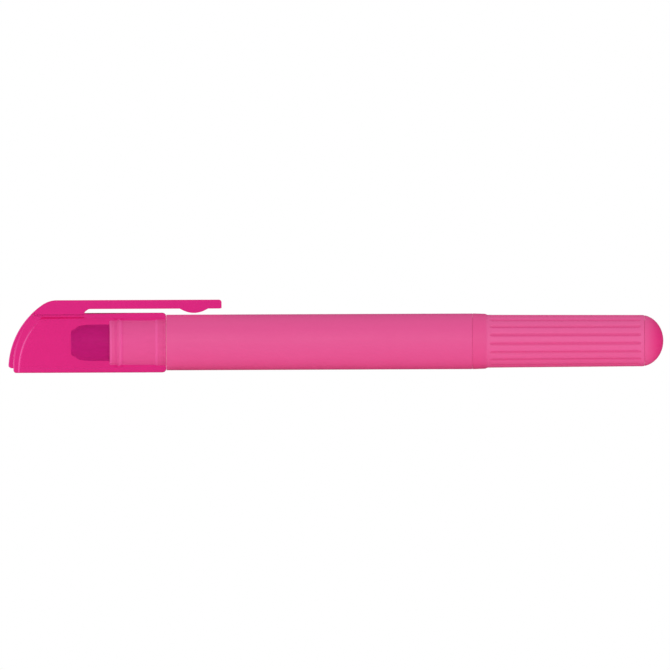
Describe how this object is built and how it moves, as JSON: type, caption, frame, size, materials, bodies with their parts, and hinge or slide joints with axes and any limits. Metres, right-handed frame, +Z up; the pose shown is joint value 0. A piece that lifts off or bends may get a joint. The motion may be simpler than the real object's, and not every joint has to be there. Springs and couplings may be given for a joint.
{
  "type": "retractable highlighter",
  "caption": "Twist-up gel highlighter with a pull-off clip cap: turning the ribbed rear knob feeds a solid gel stick out of the barrel or draws it back in.",
  "frame": {"origin": "on the table under the middle of the pen, below its axis", "axes": "+X along the pen from the cap's nose to the twist knob, +Z up towards the clip, +Y across"},
  "size_m": [0.14, 0.0128, 0.0155],
  "materials": {
    "cap_plastic": "clear magenta-pink plastic, glossy",
    "clip_plastic": "clear magenta-pink plastic, glossy",
    "body_plastic": "milky translucent pink plastic, satin",
    "knob_plastic": "milky translucent pink plastic, satin",
    "plug_plastic": "milky translucent pink plastic, satin",
    "nozzle_plastic": "milky pale pink plastic, satin",
    "drive_plastic": "natural, slightly pink plastic",
    "ring_rubber": "dull rubber",
    "gel": "waxy magenta gel"
  },
  "bodies": {
    "barrel": {"barrel_shell": "body_plastic", "front_nozzle": "nozzle_plastic", "guide_bush": "drive_plastic", "friction_ring": "ring_rubber"},
    "cap": {"cap_shell": "cap_plastic"},
    "clip": {"pocket_clip": "clip_plastic"},
    "knob": {"twist_knob": "knob_plastic", "end_plug": "plug_plastic", "drive_nut": "drive_plastic"},
    "carrier": {"stick_cup": "drive_plastic", "screw_rod": "drive_plastic", "gel_stick": "gel"}
  },
  "joints": [
    {"name": "cap_slide", "type": "slide", "parent": "barrel", "child": "cap", "axis": [-1, 0, 0], "range_m": [0, 0.045]},
    {"name": "clip_flex", "type": "hinge", "parent": "cap", "child": "clip", "pos_m": [-0.0524, 0, 0.01456], "axis": [0, -1, 0], "range_deg": [0, 5], "stiffness_Nm_per_rad": 0.5},
    {"name": "knob_twist", "type": "hinge", "parent": "barrel", "child": "knob", "pos_m": [0.05, 0, 0.00639], "axis": [-1, 0, 0], "range_deg": [-1080, 960]},
    {"name": "stick_feed", "type": "slide", "parent": "barrel", "child": "carrier", "axis": [-1, 0, 0], "range_m": [-0.009, 0.008]}
  ],
  "couplings": [
    {"joint": "knob_twist", "follows": "stick_feed", "rad_per_m": 2094.4}
  ]
}
